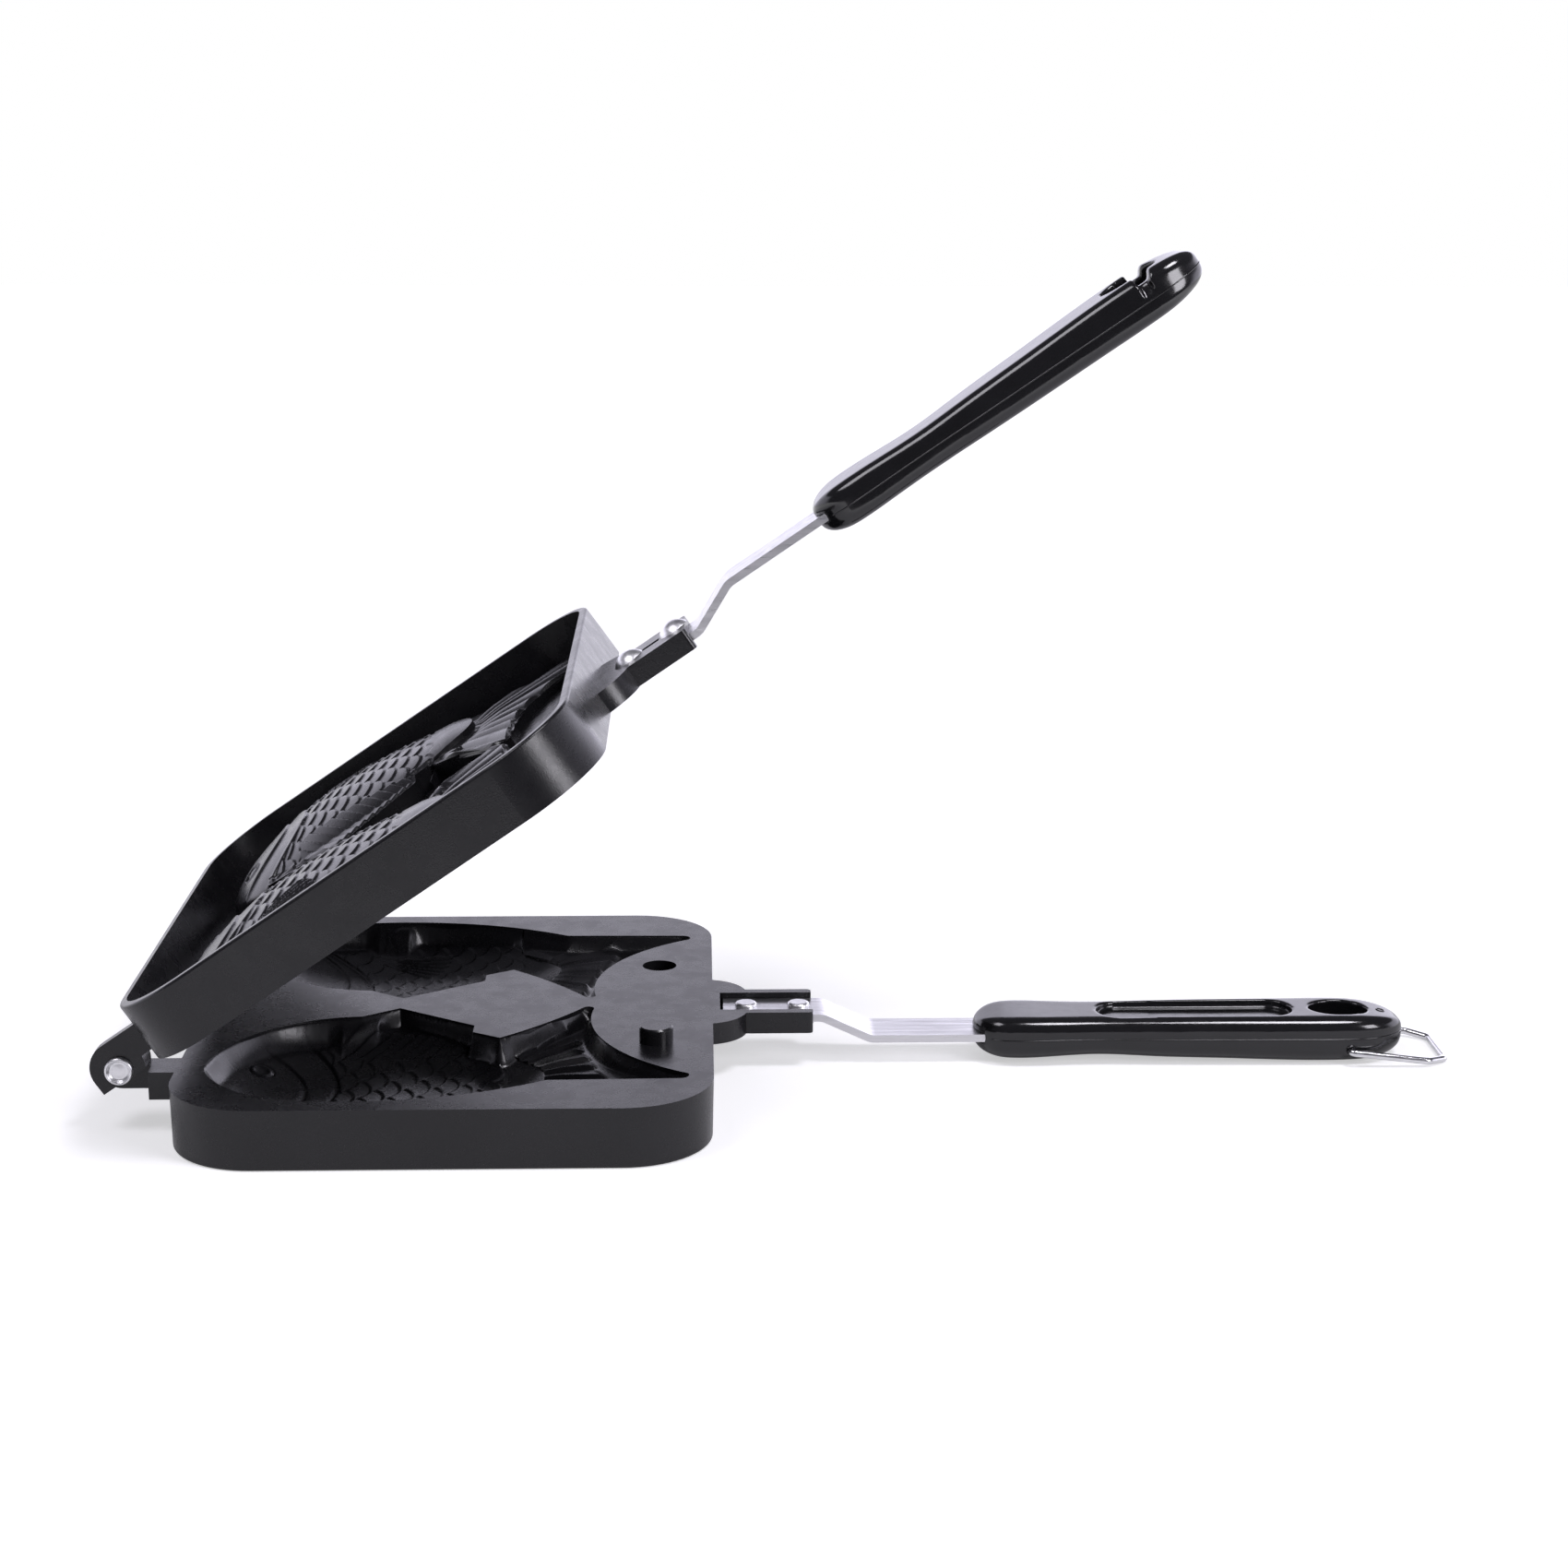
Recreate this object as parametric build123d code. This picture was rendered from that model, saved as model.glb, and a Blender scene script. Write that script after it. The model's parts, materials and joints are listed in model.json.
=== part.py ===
"""A double fish waffle iron: two hinged moulds, each with a steel bar and a moulded grip.

Millimetres. The pieces are drawn in the closed pan's own frame: x runs from the rear wall of the
moulds towards the handles, y = 0 is the plane of symmetry, and z = 0 is the parting plane where
the two moulds meet. The upper half is drawn closed, as a mirror image of the lower one, and then
swung open. Last, everything moves so that the origin is at the bottom centre of the open pan.
"""

from build123d import *
from math import asin, cos, degrees, radians, sin
import os

# moulds
TRAY_LENGTH = 128.9
TRAY_WIDTH = 155.0
TRAY_HEIGHT = 15.05
TRAY_CORNER = 21.3
TRAY_DRAFT = 1.2
RIM = 2.2
DECK = 3.0
RIM_ROUND = 0.7
OVERLAP = 1.0  # how far joined shapes run into each other

# fish cavities
BODY_DEPTH = 11.2
TAIL_DEPTH = 6.2
TAIL_EDGE_DEPTH = 2.8
TAIL_WALL = 1.5
FIN_DEPTH = 5.5
SHELL = 2.3
BOWL_CENTRE = (44.0, -43.0)
BOWL_REACH = (50.0, 36.0)
HEAD_REACH = 38.0
HEAD_WALL = 1.3
TAIL_START = 76.0
FIN_EDGE = -22.0
FIN_SPAN = (25.0, 85.0)

# locating pin and socket
LOCATOR = (114.8, 30.5)
LOCATOR_PIN_R = 4.2
LOCATOR_PIN_HEIGHT = 4.0
LOCATOR_SOCKET_R = 4.55
LOCATOR_SOCKET_DEPTH = 5.0
LOCATOR_BOSS_R = 7.0
LOCATOR_BOSS_DEPTH = 7.0
LOCATOR_CHAMFER = 0.4

# hinge
HINGE_X = -13.24
HINGE_Z = 0.22
REST_ANGLE = 34.41
EAR_OUTER_Y = 50.0
EAR_THICKNESS = 3.4
EAR_R = 6.7
EAR_TOP = 7.5
EAR_BOTTOM = -2.7
EAR_LIFT = 0.1
EAR_CORNER = (1.3, 1.9)
KNUCKLE_R = 5.9
KNUCKLE_WIDTH = 5.5
HINGE_GAP = 0.3
STOP_FRONT = -6.3
STOP_OUTER_Y = 51.0
STOP_DEPTH = 6.9
HINGE_PIN_R = 2.0
HINGE_CLEARANCE = 0.05
HINGE_HEAD_R = 3.4
HINGE_HEAD_HEIGHT = 1.3
HINGE_DISH_R = 2.4
HINGE_DISH_DEPTH = 0.9
HINGE_TAIL_R = 3.1
HINGE_TAIL_HEIGHT = 1.1

# handle brackets
BRACKET_END = 154.5
BRACKET_HALF = 9.5
BRACKET_DEPTH = 5.6
BRACKET_FLARE = 8.5
BRACKET_FLARE_R = 11.5
BRACKET_ROOT = 1.5
BRACKET_ROUND = 1.2
RECESS_START = 130.8
RECESS_HALF = 6.85
WEB_TOP = -3.5
RIVETS_X = (137.5, 151.0)
SLOT_LENGTH = 5.0
SLOT_WIDTH = 2.6
SLOT_DEPTH = 1.2

# handle bars
BAR_WIDTH = 13.4
BAR_THICKNESS = 2.0
BAR_START = 131.6
BAR_BEND = (157.0, 169.5)
BAR_LOW_TOP = -7.3
BAR_END = 276.0
BAR_BEND_R = 5.0
RIVET_R = 2.0
RIVET_DOME_R = 4.1
RIVET_DOME_HEIGHT = 2.3
RIVET_TAIL_R = 2.85
RIVET_TAIL_HEIGHT = 1.25

# grips
GRIP_START = 196.2
GRIP_END = 308.2
GRIP_TOP = -2.7
GRIP_HALF = 10.6
GRIP_ROUND = 3.6
GRIP_STATIONS = (
    (206.0, 10.2, -2.7, -13.5), (216.0, 10.0, -2.8, -13.3), (228.0, 9.5, -2.9, -12.9),
    (242.0, 9.9, -2.8, -13.4), (260.0, 10.3, GRIP_TOP, -13.9), (280.0, GRIP_HALF, GRIP_TOP, -14.5),
    (292.0, GRIP_HALF, GRIP_TOP, -14.5))
NOSE_LENGTH = 9.8
HEEL_LENGTH = 16.2
END_FULLNESS = 0.6
DOME_STEPS = (0.004, 0.06, 0.2, 0.42, 0.7)
GROOVE = (228.5, 279.3)
GROOVE_HALF = 6.3
GROOVE_DEPTH = 2.0
HANG_X = 291.5
HANG_LENGTH = 15.2
HANG_WIDTH = 11.4

# wire latch
WIRE_R = 0.9
LATCH_X = 293.0
LATCH_Z = -11.2
LATCH_REACH = 25.2
LATCH_LEG = 20.0
LATCH_HALF = 11.9
LATCH_BAR_HALF = 8.3
LATCH_HOOK_Y = 7.2
LATCH_HOOK_BEND = 1.1
LATCH_BEND_R = 2.2
LATCH_HOLE_R = 0.95
LATCH_PLAY = 0.3
FLOOR_GAP = 0.03
CATCH_X = 293.3
CATCH_FLOOR = 12.2
CATCH_HALF_LENGTH = 1.5
CATCH_LEAN = 0.7
CATCH_RAMP = 4.5
CATCH_HALF_WIDTH = 8.1
CATCH_OUTER = (13.6, 4.3)

FAR_OUT = 60.0


def side_plate(outline, y_low, y_high):
    """A plate drawn in x and z and given its thickness along y."""
    face = Plane.XZ * outline
    return Pos(0, y_high, 0) * extrude(face, amount=y_high - y_low)


def tray_outline(inset):
    """The plan of a mould, drawn in by the inset."""
    plan = RectangleRounded(TRAY_LENGTH - 2 * inset, TRAY_WIDTH - 2 * inset, TRAY_CORNER - inset)
    return Pos(TRAY_LENGTH / 2, 0) * plan


def fish_curves():
    """The near fish in plan, as curves in order, each with the facets its backing bulge takes.

    The mouth is at the hinge side, the back faces the middle and the tail the handles.
    """
    mouth = (6.5, -48.0)
    fin_root = (40.0, -10.5)
    tail_root_back = (76.0, -27.5)
    lobe_back = (96.0, -4.2)
    edge_back = (98.5, -5.6)
    lobe_belly = (122.6, -54.0)
    tip_belly = (120.6, -57.6)
    tail_root_belly = (89.0, -58.2)
    fin = Polyline(fin_root, (49.0, -4.0), (69.0, -18.0), (69.0, -23.0), tail_root_back)
    return [
        (Spline(mouth, (9.5, -33.0), (20.0, -18.5), fin_root), 8),
        *[(edge, 1) for edge in fin.edges()],
        (Spline(tail_root_back, (85.0, -18.5), lobe_back), 4),
        (ThreePointArc(lobe_back, (97.8, -3.9), edge_back), 2),
        (Spline(edge_back, (101.0, -28.0), (109.0, -42.0), lobe_belly), 8),
        (ThreePointArc(lobe_belly, (122.8, -56.3), tip_belly), 3),
        (Line(tip_belly, tail_root_belly), 1),
        (Spline(tail_root_belly, (68.0, -68.2), (45.0, -71.8), (22.0, -67.8), (9.0, -55.0), mouth), 14),
    ]


def bulge_outline(grow):
    """The faceted plan of the bulge behind a fish, wider than it all round."""
    points = []
    for curve, facets in fish_curves():
        points += [curve @ (step / facets) for step in range(facets)]
    return Wire(Polyline(*points, close=True).edges()).offset_2d(grow, kind=Kind.INTERSECTION)


def half_bowl(reach, half_width, deep, side):
    """One end of the body's bowl: the head's is shorter and steeper than the tail's."""
    whole = scale(Sphere(1), by=(reach, half_width, deep))
    return whole & Pos(side * reach / 2, 0, 0) * Box(reach, 2 * half_width, 2 * deep)


def fish_form(grow, top):
    """The hollow of one fish below the level top, or with grow the bulge that backs it."""
    if grow:
        plan = Face(bulge_outline(grow))
    else:
        plan = Face(Wire([curve for curve, facets in fish_curves()]))
    deep = BODY_DEPTH + grow
    prism = extrude(Pos(0, 0, top) * plan, amount=deep + top, dir=(0, 0, -1))
    half_width = BOWL_REACH[1] + grow
    aft = half_bowl(BOWL_REACH[0] + grow, half_width, deep, 1)
    fore = half_bowl(HEAD_REACH + min(grow, HEAD_WALL), half_width, deep, -1)
    bowl = Pos(*BOWL_CENTRE, 0) * (aft + fore)
    tail_start, tail_end = TAIL_START - grow, TRAY_LENGTH - RIM
    wall = min(grow, TAIL_WALL)
    tail = Polygon(
        (tail_start, 0), (tail_start, -TAIL_DEPTH - wall), (tail_end, -TAIL_EDGE_DEPTH - wall),
        (tail_end, 0), align=None)
    tail = side_plate(tail, -TRAY_WIDTH / 2, 0)
    fin_low = FIN_EDGE - grow
    fin = Pos(sum(FIN_SPAN) / 2, fin_low / 2, -(FIN_DEPTH + grow) / 2)
    fin = fin * Box(FIN_SPAN[1] - FIN_SPAN[0], -fin_low, FIN_DEPTH + grow)
    return prism & (bowl + tail + fin)


def mirrored(shape):
    """The shape and its mirror image on the other side of the plane of symmetry."""
    return shape + mirror(shape, about=Plane.XZ)


def bracket():
    """The bracket at the front of a mould, with the recess for its handle bar."""
    root = TRAY_LENGTH - BRACKET_ROOT
    straight = TRAY_LENGTH + BRACKET_FLARE
    flared = BRACKET_HALF + BRACKET_FLARE
    start = Line((root, -flared), (root, flared))
    far_arc = RadiusArc((root, flared), (straight, BRACKET_HALF), BRACKET_FLARE_R)
    far_side = Line((straight, BRACKET_HALF), (BRACKET_END, BRACKET_HALF))
    end = Line((BRACKET_END, BRACKET_HALF), (BRACKET_END, -BRACKET_HALF))
    near_side = Line((BRACKET_END, -BRACKET_HALF), (straight, -BRACKET_HALF))
    near_arc = RadiusArc((straight, -BRACKET_HALF), (root, -flared), BRACKET_FLARE_R)
    plan = Face(Wire([start, far_arc, far_side, end, near_side, near_arc]))
    body = extrude(plan, amount=BRACKET_DEPTH, dir=(0, 0, -1))
    body = fillet(body.edges().filter_by(Axis.Z).sort_by(Axis.X)[-2:], BRACKET_ROUND)
    return body


def bracket_cuts():
    """What is cut from the bracket: the bar's recess, the rivet holes and a small slot."""
    length = FAR_OUT / 2
    recess = Pos(RECESS_START + length / 2, 0, WEB_TOP / 2) * Box(length, 2 * RECESS_HALF, -WEB_TOP)
    cuts = recess
    for x in RIVETS_X:
        cuts += Pos(x, 0, -BRACKET_DEPTH / 2) * Cylinder(RIVET_R, BRACKET_DEPTH)
    slot_x = sum(RIVETS_X) / 2
    slot = Pos(slot_x, 0, -BRACKET_DEPTH + SLOT_DEPTH / 2) * Box(SLOT_LENGTH, SLOT_WIDTH, SLOT_DEPTH)
    return cuts + slot


def plain_mould():
    """A mould without its hinge parts and locating features, below the parting plane."""
    block = extrude(tray_outline(0), amount=TRAY_HEIGHT, dir=(0, 0, -1), taper=TRAY_DRAFT)
    block = fillet(block.faces().sort_by(Axis.Z)[0].edges(), RIM_ROUND)
    inner = tray_outline(RIM + TRAY_HEIGHT * sin(radians(TRAY_DRAFT)))
    hollow = extrude(Pos(0, 0, -TRAY_HEIGHT) * inner, amount=TRAY_HEIGHT - DECK, taper=TRAY_DRAFT)
    bulge = fish_form(SHELL, -DECK / 2)
    cavity = fish_form(0, 0)
    mould = block - (hollow - bulge - mirror(bulge, about=Plane.XZ))
    mould = mould - cavity - mirror(cavity, about=Plane.XZ)
    return mould + bracket() - bracket_cuts()


def locators(mould, pin_side):
    """Adds the locating pin on one side of the mould and its socket on the other."""
    x, y = LOCATOR
    height = LOCATOR_PIN_HEIGHT
    pin = Pos(x, pin_side * y, (height - OVERLAP) / 2) * Cylinder(LOCATOR_PIN_R, height + OVERLAP)
    pin = chamfer(pin.faces().sort_by(Axis.Z)[-1].edges(), LOCATOR_CHAMFER)
    boss = Cylinder(LOCATOR_BOSS_R, LOCATOR_BOSS_DEPTH - OVERLAP)
    boss = Pos(x, -pin_side * y, -(LOCATOR_BOSS_DEPTH + OVERLAP) / 2) * boss
    depth = LOCATOR_SOCKET_DEPTH
    socket = Pos(x, -pin_side * y, -depth / 2) * Cylinder(LOCATOR_SOCKET_R, depth)
    return mould + boss + pin - socket


def hinge_axis_rod(radius, y_low, y_high):
    """A round bar on the hinge axis."""
    rod = Rot(90, 0, 0) * Cylinder(radius, y_high - y_low)
    return Pos(HINGE_X, (y_low + y_high) / 2, HINGE_Z) * rod


EAR_INNER_Y = EAR_OUTER_Y - EAR_THICKNESS
KNUCKLE_OUTER_Y = EAR_INNER_Y - HINGE_GAP
KNUCKLE_INNER_Y = KNUCKLE_OUTER_Y - KNUCKLE_WIDTH


def knuckle():
    """The near knuckle of the lower mould, with the block that stops the lid."""
    barrel = hinge_axis_rod(KNUCKLE_R, -KNUCKLE_OUTER_Y, -KNUCKLE_INNER_Y)
    web_y = (KNUCKLE_OUTER_Y + KNUCKLE_INNER_Y) / 2
    web_low = HINGE_Z - KNUCKLE_R
    web = Pos((HINGE_X + OVERLAP) / 2, -web_y, web_low / 2)
    web = web * Box(OVERLAP - HINGE_X, KNUCKLE_WIDTH, -web_low)
    stop_width = STOP_OUTER_Y - KNUCKLE_INNER_Y
    stop = Pos((STOP_FRONT + OVERLAP) / 2, -KNUCKLE_INNER_Y - stop_width / 2, -STOP_DEPTH / 2)
    stop = stop * Box(OVERLAP - STOP_FRONT, stop_width, STOP_DEPTH)
    bore = hinge_axis_rod(HINGE_PIN_R, -KNUCKLE_OUTER_Y, -KNUCKLE_INNER_Y)
    return barrel + web + stop - bore


def ear():
    """The near ear of the lid, drawn closed: round over the pin, its rear tip square, and its
    lower corner at the mould cut off."""
    centre_z = EAR_TOP - EAR_R
    disc = Pos(HINGE_X, centre_z) * Circle(EAR_R)
    heel_height = centre_z - EAR_BOTTOM
    heel = Pos(HINGE_X - EAR_R / 2, centre_z - heel_height / 2) * Rectangle(EAR_R, heel_height)
    arm = Rectangle(OVERLAP - HINGE_X, EAR_TOP - EAR_LIFT)
    arm = Pos((HINGE_X + OVERLAP) / 2, (EAR_TOP + EAR_LIFT) / 2) * arm
    below = Pos(HINGE_X, EAR_BOTTOM - EAR_R) * Rectangle(3 * EAR_R, 2 * EAR_R)
    cut_length, cut_height = EAR_CORNER
    corner = Polygon((-cut_length, 0), (0, 0), (0, cut_height), (-cut_length, EAR_LIFT), align=None)
    profile = disc + heel + arm - below - corner
    plate = side_plate(profile, -EAR_OUTER_Y, -EAR_INNER_Y)
    return plate - hinge_axis_rod(HINGE_PIN_R + HINGE_CLEARANCE, -EAR_OUTER_Y, -EAR_INNER_Y)


def hinge_rivet():
    """The near hinge rivet: a dished head outside the ear, spread inside the knuckle."""
    head_y = EAR_OUTER_Y + HINGE_CLEARANCE
    head_end = head_y + HINGE_HEAD_HEIGHT
    tail_end = KNUCKLE_INNER_Y - HINGE_TAIL_HEIGHT
    shank = hinge_axis_rod(HINGE_PIN_R, -head_y, -KNUCKLE_INNER_Y)
    head = hinge_axis_rod(HINGE_HEAD_R, -head_end, -head_y)
    head = fillet(head.edges().sort_by(Axis.Y)[0], HINGE_HEAD_HEIGHT * 0.7)
    tail = hinge_axis_rod(HINGE_TAIL_R, -KNUCKLE_INNER_Y, -tail_end)
    tail = fillet(tail.edges().sort_by(Axis.Y)[-1], HINGE_TAIL_HEIGHT * 0.6)
    dish = hinge_axis_rod(HINGE_DISH_R, -head_end, -head_end + HINGE_DISH_DEPTH)
    return shank + head + tail - dish


def bar_path():
    """The middle line of a handle bar, from the bracket into the grip."""
    high = WEB_TOP + BAR_THICKNESS / 2
    low = BAR_LOW_TOP - BAR_THICKNESS / 2
    points = [(BAR_START, 0, high), (BAR_BEND[0], 0, high), (BAR_BEND[1], 0, low), (BAR_END, 0, low)]
    return FilletPolyline(*points, radius=BAR_BEND_R)


def handle_bar(holes=True):
    """A strip of steel: it lies in the bracket, steps down and runs on inside the grip."""
    path = bar_path()
    section = Plane(path @ 0, x_dir=(0, 1, 0), z_dir=path % 0) * Rectangle(BAR_WIDTH, BAR_THICKNESS)
    bar = sweep(section, path=path)
    if holes:
        for x in RIVETS_X:
            bar -= Pos(x, 0, WEB_TOP) * Cylinder(RIVET_R, 3 * BAR_THICKNESS)
    return bar


def bar_rivet(x):
    """One rivet: a dome under the bracket, a shank, and the flat spread end on the bar."""
    bar_top = WEB_TOP + BAR_THICKNESS
    shank_length = BRACKET_DEPTH + bar_top
    shank = Pos(x, 0, -BRACKET_DEPTH + shank_length / 2) * Cylinder(RIVET_R, shank_length)
    ball_r = (RIVET_DOME_R ** 2 + RIVET_DOME_HEIGHT ** 2) / (2 * RIVET_DOME_HEIGHT)
    dome = Pos(x, 0, -BRACKET_DEPTH - RIVET_DOME_HEIGHT + ball_r) * Sphere(ball_r)
    dome &= Pos(x, 0, -BRACKET_DEPTH - RIVET_DOME_HEIGHT / 2) * Box(FAR_OUT, FAR_OUT, RIVET_DOME_HEIGHT)
    tail = Pos(x, 0, bar_top + RIVET_TAIL_HEIGHT / 2) * Cylinder(RIVET_TAIL_R, RIVET_TAIL_HEIGHT)
    tail = fillet(tail.edges().sort_by(Axis.Z)[-1], RIVET_TAIL_HEIGHT * 0.6)
    return shank + dome + tail


def grip_section(x, half, top, bottom, scale_y=1.0):
    """A cross-section of the grip; towards an end it shrinks in width and less in height."""
    scale_z = scale_y ** END_FULLNESS
    width = 2 * half * scale_y
    height = (top - bottom) * scale_z
    plane = Plane((x, 0, (top + bottom) / 2), x_dir=(0, 1, 0), z_dir=(1, 0, 0))
    return plane * RectangleRounded(width, height, GRIP_ROUND * scale_z * min(1, width / height))


def grip_blank():
    """The grip's outer shape: waisted in plan and in side view, domed at both ends."""
    nose, heel = [], []
    for share in DOME_STEPS:
        scale_y = (1 - (1 - share) ** 2) ** 0.5
        nose.append(grip_section(GRIP_START + NOSE_LENGTH * share, *GRIP_STATIONS[0][1:], scale_y))
        heel.append(grip_section(GRIP_END - HEEL_LENGTH * share, *GRIP_STATIONS[-1][1:], scale_y))
    middle = [grip_section(*values) for values in GRIP_STATIONS]
    return loft(nose + middle + heel[::-1])


def grip():
    """A grip with its finger groove, its hanging hole and the room for its bar."""
    groove_length = GROOVE[1] - GROOVE[0]
    groove = SlotOverall(groove_length, 2 * GROOVE_HALF)
    groove = Pos(sum(GROOVE) / 2, 0, GRIP_TOP - GROOVE_DEPTH) * extrude(groove, amount=FAR_OUT / 4)
    hang = Pos(HANG_X, 0, -FAR_OUT / 2) * extrude(Ellipse(HANG_LENGTH / 2, HANG_WIDTH / 2), amount=FAR_OUT)
    return grip_blank() - groove - hang - handle_bar(holes=False)


def latch_holes(body):
    """The two blind holes in the lower grip's sides that hold the ends of the wire."""
    length = GRIP_HALF + OVERLAP - LATCH_HOOK_Y + LATCH_PLAY
    middle = LATCH_HOOK_Y - LATCH_PLAY + length / 2
    for side in (-1, 1):
        hole = Rot(90, 0, 0) * Cylinder(LATCH_HOLE_R, length)
        body -= Pos(LATCH_X, side * middle, LATCH_Z) * hole
    return body


def catch():
    """The notch across the upper grip, drawn closed, that the wire drops into."""
    front = CATCH_X - CATCH_HALF_LENGTH
    back = CATCH_X + CATCH_HALF_LENGTH
    top = FAR_OUT / 3
    profile = Polyline(
        (front, 0), (back, 0), (back, CATCH_FLOOR), (back + CATCH_RAMP, top),
        (front - CATCH_LEAN, top), (front, CATCH_FLOOR), (front, 0))
    along = side_plate(make_face(profile), -FAR_OUT / 2, FAR_OUT / 2)
    outer_y, outer_z = CATCH_OUTER
    section = Polyline(
        (-outer_y, outer_z), (-CATCH_HALF_WIDTH, CATCH_FLOOR), (CATCH_HALF_WIDTH, CATCH_FLOOR),
        (outer_y, outer_z), (outer_y, top), (-outer_y, top), (-outer_y, outer_z))
    across = Pos(GRIP_END - FAR_OUT, 0, 0) * extrude(Plane.YZ * make_face(section), amount=FAR_OUT)
    return along & across


def wire_latch():
    """The wire loop, hooked into the lower grip and lying on what the pan stands on."""
    half, bar_half = LATCH_HALF, LATCH_BAR_HALF
    points = [
        (0, -LATCH_HOOK_Y, 0), (0, -half, 0), (LATCH_LEG, -half, 0), (LATCH_REACH, -bar_half, 0),
        (LATCH_REACH, bar_half, 0), (LATCH_LEG, half, 0), (0, half, 0), (0, LATCH_HOOK_Y, 0)]
    bends = [LATCH_HOOK_BEND, *[LATCH_BEND_R] * 4, LATCH_HOOK_BEND]
    path = FilletPolyline(*points, radius=bends)
    section = Plane(path @ 0, z_dir=path % 0) * Circle(WIRE_R)
    wire = sweep(section, path=path)
    drop = degrees(asin((TRAY_HEIGHT + LATCH_Z - WIRE_R - FLOOR_GAP) / LATCH_REACH))
    return Pos(LATCH_X, 0, LATCH_Z) * Rot(0, drop, 0) * wire


def upside(shape):
    """The mirror image above the parting plane."""
    return mirror(shape, about=Plane.XY)


def swing_open(shape):
    """Turns a piece of the upper half from closed to the open rest position."""
    return Pos(HINGE_X, 0, HINGE_Z) * Rot(0, -REST_ANGLE, 0) * Pos(-HINGE_X, 0, -HINGE_Z) * shape


def build():
    """Every piece by name, in the drawing frame, with the upper half open."""
    mould = plain_mould()
    plain_grip = grip()
    bar = handle_bar()
    rivets = [bar_rivet(x) for x in RIVETS_X]
    near_rivet = hinge_rivet()
    lower = {
        "lower_mould": locators(mould, -1) + mirrored(knuckle()),
        "lower_handle_bar": bar,
        "lower_rivet_mould_end": rivets[0],
        "lower_rivet_grip_end": rivets[1],
        "lower_grip": latch_holes(plain_grip),
        "hinge_rivet_near": near_rivet,
        "hinge_rivet_far": mirror(near_rivet, about=Plane.XZ),
        "wire_latch": wire_latch(),
    }
    upper = {
        "upper_mould": upside(locators(mould, 1)) + mirrored(ear()),
        "upper_handle_bar": upside(bar),
        "upper_rivet_mould_end": upside(rivets[0]),
        "upper_rivet_grip_end": upside(rivets[1]),
        "upper_grip": upside(plain_grip) - catch(),
    }
    pieces = dict(lower)
    for name, shape in upper.items():
        pieces[name] = swing_open(shape)
    return pieces


def main():
    pieces = build()
    box = Compound([solid for shape in pieces.values() for solid in shape.solids()]).bounding_box()
    middle = (box.min.X + box.max.X) / 2
    base = -TRAY_HEIGHT
    os.makedirs("parts", exist_ok=True)
    for name, shape in pieces.items():
        placed = Pos(-middle, 0, -base) * shape
        export_step(Compound(placed.solids()), f"parts/{name}.step")
    print("box", box.min, box.max)
    print("origin in the drawing frame", round(middle, 4), 0, base)
    print("hinge axis", round(HINGE_X - middle, 4), round(HINGE_Z - base, 4))
    print("latch axis", round(LATCH_X - middle, 4), round(LATCH_Z - base, 4))


main()
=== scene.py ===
"""A double fish waffle iron, open at rest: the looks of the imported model.

Lengths are metres in the row frame. The fish patterns are drawn in millimetres in the closed
pan's own frame, where z = 0 is the parting plane, and are placed by the matrices below.
"""

import json
import math

import bmesh
import bpy
import numpy as np
from mathutils import Matrix, Vector
from mathutils.bvhtree import BVHTree


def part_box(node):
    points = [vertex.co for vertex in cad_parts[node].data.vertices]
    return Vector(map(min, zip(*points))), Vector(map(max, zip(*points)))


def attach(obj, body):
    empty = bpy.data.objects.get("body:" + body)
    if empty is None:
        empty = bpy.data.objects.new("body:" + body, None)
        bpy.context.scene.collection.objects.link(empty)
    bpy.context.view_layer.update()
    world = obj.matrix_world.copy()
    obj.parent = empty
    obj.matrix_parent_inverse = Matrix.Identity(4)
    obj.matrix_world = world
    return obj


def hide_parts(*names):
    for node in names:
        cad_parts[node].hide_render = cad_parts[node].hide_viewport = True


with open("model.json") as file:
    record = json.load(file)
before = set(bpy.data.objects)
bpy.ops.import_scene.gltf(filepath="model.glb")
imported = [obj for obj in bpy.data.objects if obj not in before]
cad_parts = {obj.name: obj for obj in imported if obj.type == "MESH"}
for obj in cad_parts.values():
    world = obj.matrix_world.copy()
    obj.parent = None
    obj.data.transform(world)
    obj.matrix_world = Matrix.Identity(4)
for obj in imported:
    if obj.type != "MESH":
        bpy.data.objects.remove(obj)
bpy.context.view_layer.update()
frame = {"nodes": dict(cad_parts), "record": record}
nodes = frame["nodes"]

MM = 0.001
# closed frame to row frame
ORIGIN = (149.3312, 0.0, -15.05)
HINGE = (-13.24, 0.22)
REST_ANGLE = math.radians(34.41)

TO_ROW = Matrix.Scale(MM, 4) @ Matrix.Translation([-v for v in ORIGIN])
MIRROR_UP = Matrix.Diagonal((1, 1, -1, 1))
HINGE_POINT = Matrix.Translation((HINGE[0], 0, HINGE[1]))
SWING = HINGE_POINT @ Matrix.Rotation(-REST_ANGLE, 4, "Y") @ HINGE_POINT.inverted()
PLACES = {"lower": TO_ROW, "upper": TO_ROW @ SWING @ MIRROR_UP}


# node trees and materials

# sockets of a mix node that mixes colours
MIX_FACTOR = 0
MIX_LOW = 6
MIX_HIGH = 7
MIX_RESULT = 2
# the part of a noise's range that its colours and roughness spread over
NOISE_BAND = (0.35, 0.65)


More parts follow.
